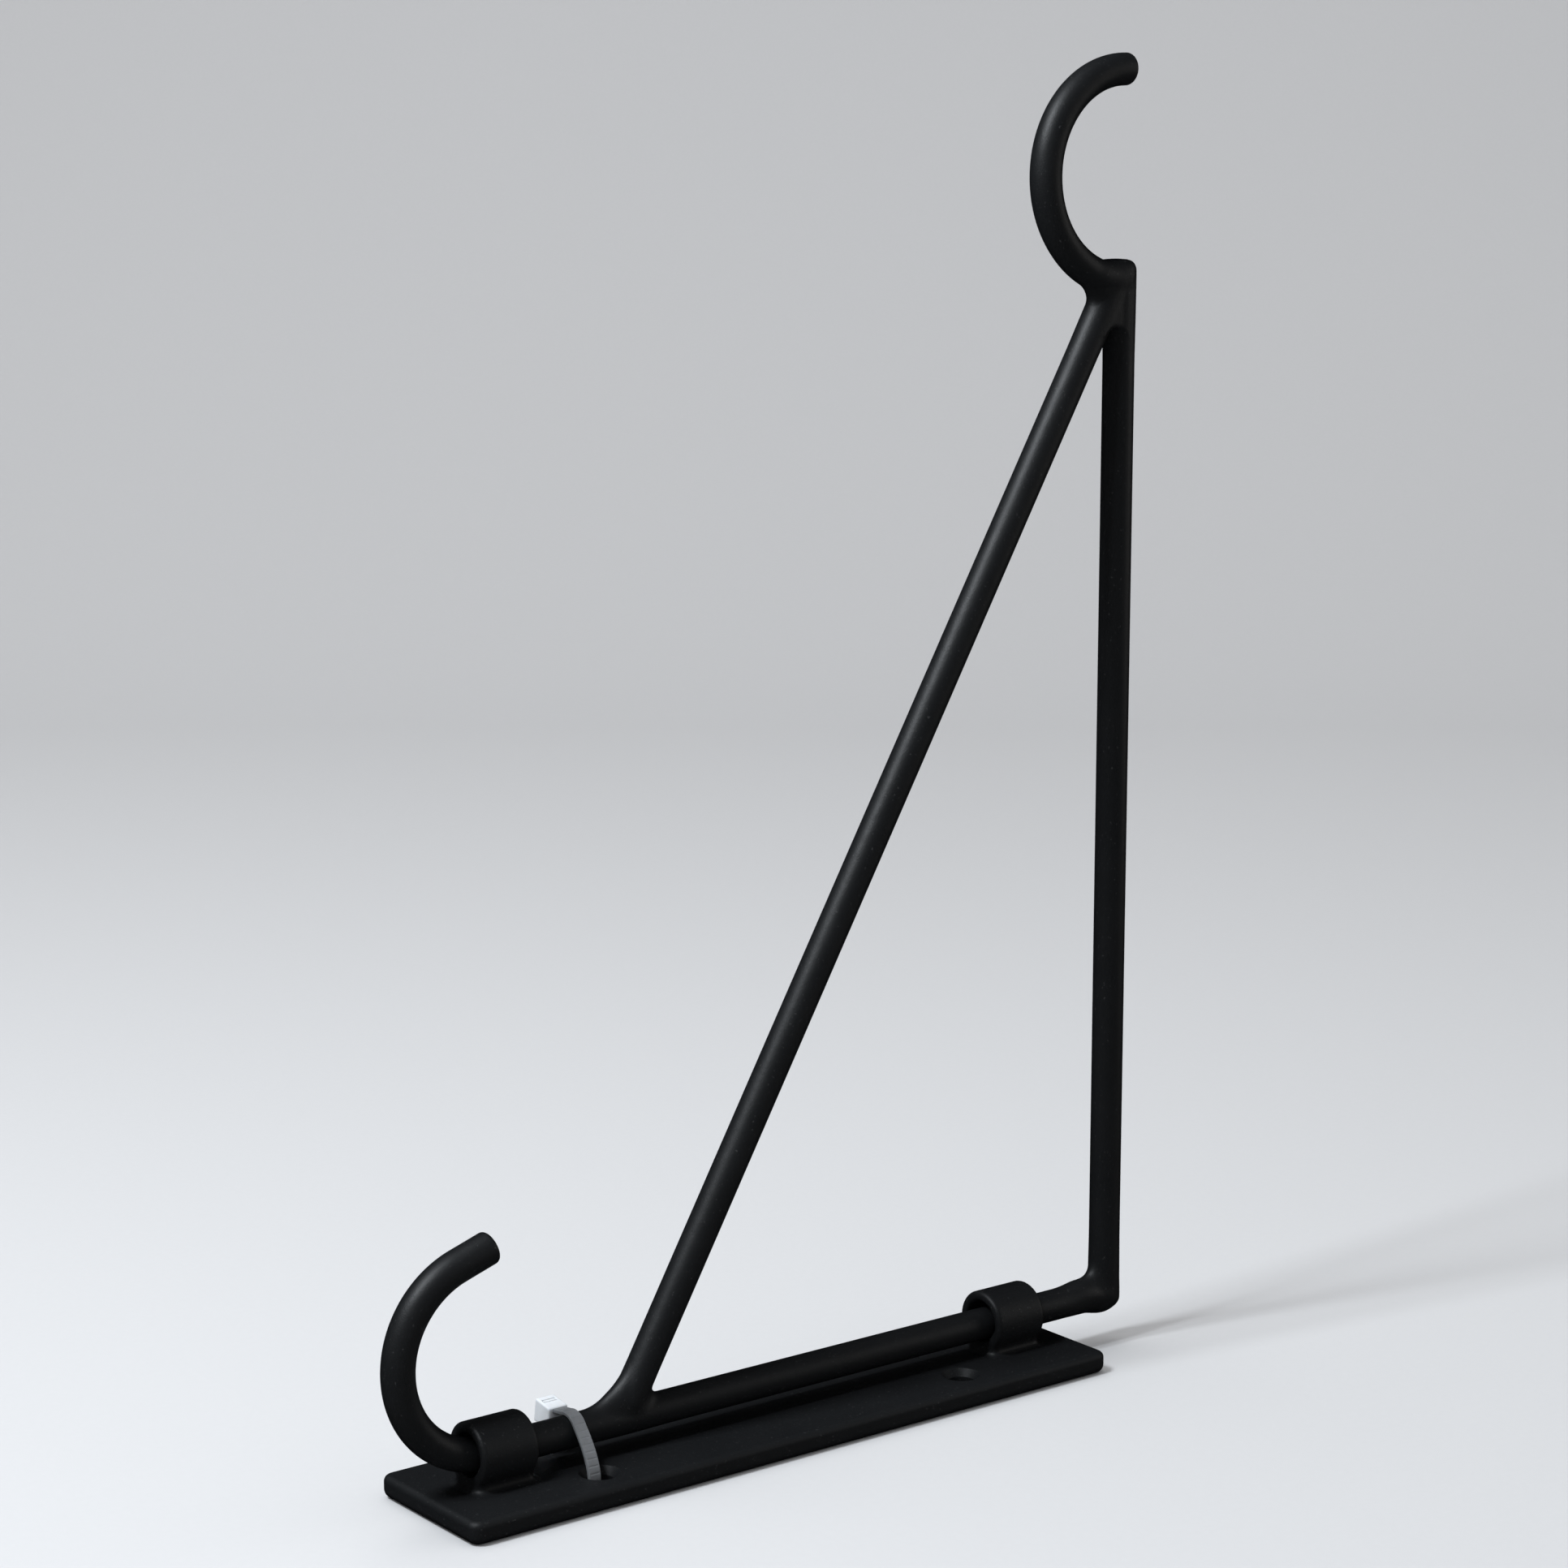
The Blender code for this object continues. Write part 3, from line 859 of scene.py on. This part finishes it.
def makeHead():
    # A moulded block with a slot through it, hollowed where it lies on the bar. Its top slopes down towards
    # the strap.
    t = tie
    sizeX, sizeY, sizeZ = (v / 2 for v in t["headSize"])
    slotWide, slotDeep = t["width"] / 2 + t["slotPlay"][0], t["thickness"] / 2 + t["slotPlay"][1]

    def field(x, y, z):
        u, v, h = x - t["x"], y - t["headY"], z - t["headZ"]
        taper = t["headTaper"] * (h + sizeZ)
        top = h - sizeZ - t["headSlope"] * (v - sizeY)
        sides = [np.abs(u) - sizeX + taper, np.abs(v) - sizeY + taper]
        block = softBox([*sides, top, -h - sizeZ], t["headSoft"])
        slot = np.maximum(np.abs(u) - slotWide, np.abs(v - t["slotOffset"]) - slotDeep)
        clearOfBar = barRadius + t["barPlay"] - np.hypot(y, z - hingeZ)
        return np.maximum.reduce([block, -slot, clearOfBar])

    middle, margin = np.array([t["x"], t["headY"], t["headZ"]]), t["headMargin"]
    mesh = surfaceMesh("tieHead", field, middle - margin, middle + margin, t["headCell"])
    addPiece("cable_tie_head", mesh, headNylon, "wall_plate", [])


makeStrap()
makeTail()
makeHead()
print("cable tie fastened")


stage = {
    "floor": (0.58, 0.58, 0.585),
    "fibreShade": 0.97,
    "fibre": (1.5, 3.0, 0.5),
    "roughness": 0.85,
    "gloss": 0.2,
    "ahead": 1.5,  # metres, like the rest of its sizes
    "behind": 2.2,
    "side": 2.4,
    "cove": 0.7,
    "coveSteps": 25,
    "wallHeight": 2.2,
    "viewTurn": -37.65,
}


def makeStage():
    # A pale floor that sweeps up behind the bracket
    s = stage
    cove, flatEnd = s["cove"], s["ahead"] - s["cove"]
    profile = [(-s["behind"], 0.0), (flatEnd, 0.0)]
    for angle in np.radians(np.linspace(0, 90, s["coveSteps"])):
        profile.append((flatEnd + cove * math.sin(angle), cove * (1 - math.cos(angle))))
    profile.append((s["ahead"], s["wallHeight"]))
    turn = math.radians(s["viewTurn"])
    ahead = Vector((-math.sin(turn), math.cos(turn), 0))
    across = Vector((math.cos(turn), math.sin(turn), 0))
    paper = bmesh.new()
    rows = []
    for distance, height in profile:
        rows.append([paper.verts.new(ahead * distance + across * side + Vector((0, 0, height)))
                     for side in (-s["side"], s["side"])])
    for row, following in zip(rows, rows[1:]):
        paper.faces.new((row[0], row[1], following[1], following[0]))
    mesh = bpy.data.meshes.new("sweep")
    paper.to_mesh(mesh)
    paper.free()
    mesh.shade_smooth()
    finish = Finish("palePaper", {"Roughness": s["roughness"], "Specular IOR Level": s["gloss"]})
    fibre = finish.noise(finish.place(), *s["fibre"])
    shade = tuple(v * s["fibreShade"] for v in s["floor"])
    finish.feed("Base Color", finish.mixColours(fibre, shade, s["floor"]))
    sweep = addPiece("floor_sweep", mesh, finish.material, None)
    sweep.visible_glossy = False


sky = {"colour": (0.97, 0.98, 1.0), "strength": 0.6}
onObject = (0.02, 0.0, 0.15)
softboxes = {
    "keySoftbox": {
        "place": (-0.53, 0.03, 0.85),
        "aim": onObject,
        "size": (0.20, 0.28),
        "power": 9.0,
        "colour": (0.90, 0.95, 1.0),
        "mirrored": True,
    },
    "stageSoftbox": {
        "place": (0.25, 0.9, 2.0),
        "aim": (0.1, 0.6, 0.0),
        "size": (1.4, 1.4),
        "power": 10.0,
        "colour": (1.0, 1.0, 1.0),
        "mirrored": False,
    },
    "fillSoftbox": {
        "place": (1.5, -0.9, 0.4),
        "aim": onObject,
        "size": (0.9, 1.2),
        "power": 3.2,
        "colour": (1.0, 0.98, 0.95),
        "mirrored": True,
    },
}


def makeLights():
    world = bpy.data.worlds.new("studio")
    bpy.context.scene.world = world
    world.use_nodes = True
    background = world.node_tree.nodes["Background"]
    background.inputs["Color"].default_value = (*sky["colour"], 1)
    background.inputs["Strength"].default_value = sky["strength"]
    world.cycles_visibility.glossy = False  # only the lights show in the gloss
    for name, look in softboxes.items():
        light = bpy.data.lights.new(name, "AREA")
        light.shape = "RECTANGLE"
        light.size, light.size_y = look["size"]
        light.energy = look["power"]
        light.color = look["colour"]
        lamp = bpy.data.objects.new(name, light)
        bpy.context.scene.collection.objects.link(lamp)
        lamp.location = look["place"]
        aim = Vector(look["aim"]) - Vector(look["place"])
        lamp.rotation_euler = aim.to_track_quat("-Z", "Y").to_euler()
        lamp.visible_glossy = look["mirrored"]


camera = {
    "place": (-0.38116, -0.50093, 0.23409),
    "tilt": 79.73,
    "turn": -37.65,
    "lens": 83.196,
    "sensor": 36.0,
    "nearest": 0.01,
}


def makeCamera():
    data = bpy.data.cameras.new("camera")
    data.lens = camera["lens"]
    data.sensor_width = camera["sensor"]
    data.clip_start = camera["nearest"]
    eye = bpy.data.objects.new("camera", data)
    bpy.context.scene.collection.objects.link(eye)
    eye.location = camera["place"]
    eye.rotation_euler = (math.radians(camera["tilt"]), 0, math.radians(camera["turn"]))
    bpy.context.scene.camera = eye
    bpy.context.scene.view_settings.view_transform = "Standard"


makeStage()
makeLights()
makeCamera()
print("stage, lights and camera set")
